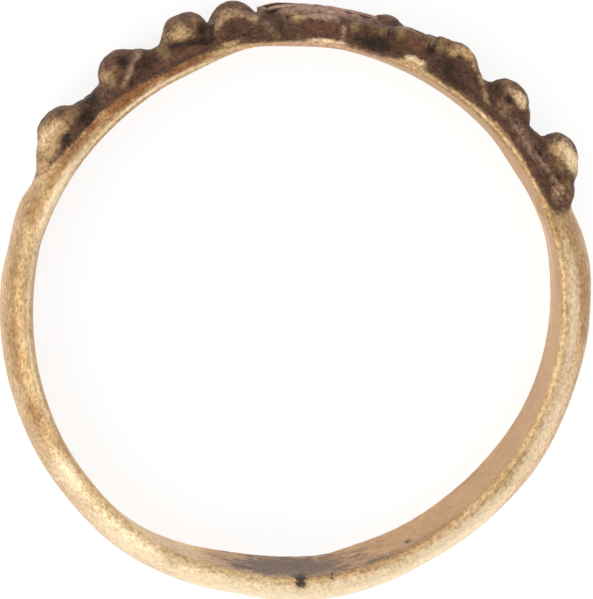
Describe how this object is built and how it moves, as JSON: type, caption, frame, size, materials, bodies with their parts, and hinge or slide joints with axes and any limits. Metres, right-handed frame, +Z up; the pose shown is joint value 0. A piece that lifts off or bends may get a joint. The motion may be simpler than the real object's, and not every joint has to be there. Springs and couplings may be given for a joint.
{
  "type": "ring",
  "caption": "Cast brass betrothal ring: a plain hoop whose bezel has rows of raised granules, lobed side walls and a low panel between them.",
  "frame": {"origin": "middle of the bounding box's base; the ring lies on one flat side", "axes": "+Z up along the finger hole's axis, +Y towards the middle of the bezel, +X to the right of the bezel seen from above"},
  "size_m": [0.0194, 0.0196, 0.0032],
  "materials": {
    "brass": "worn and finely scratched, brown tarnish on the bezel and near black in its recesses"
  },
  "bodies": {
    "root": {"ring": "brass"}
  },
  "joints": []
}
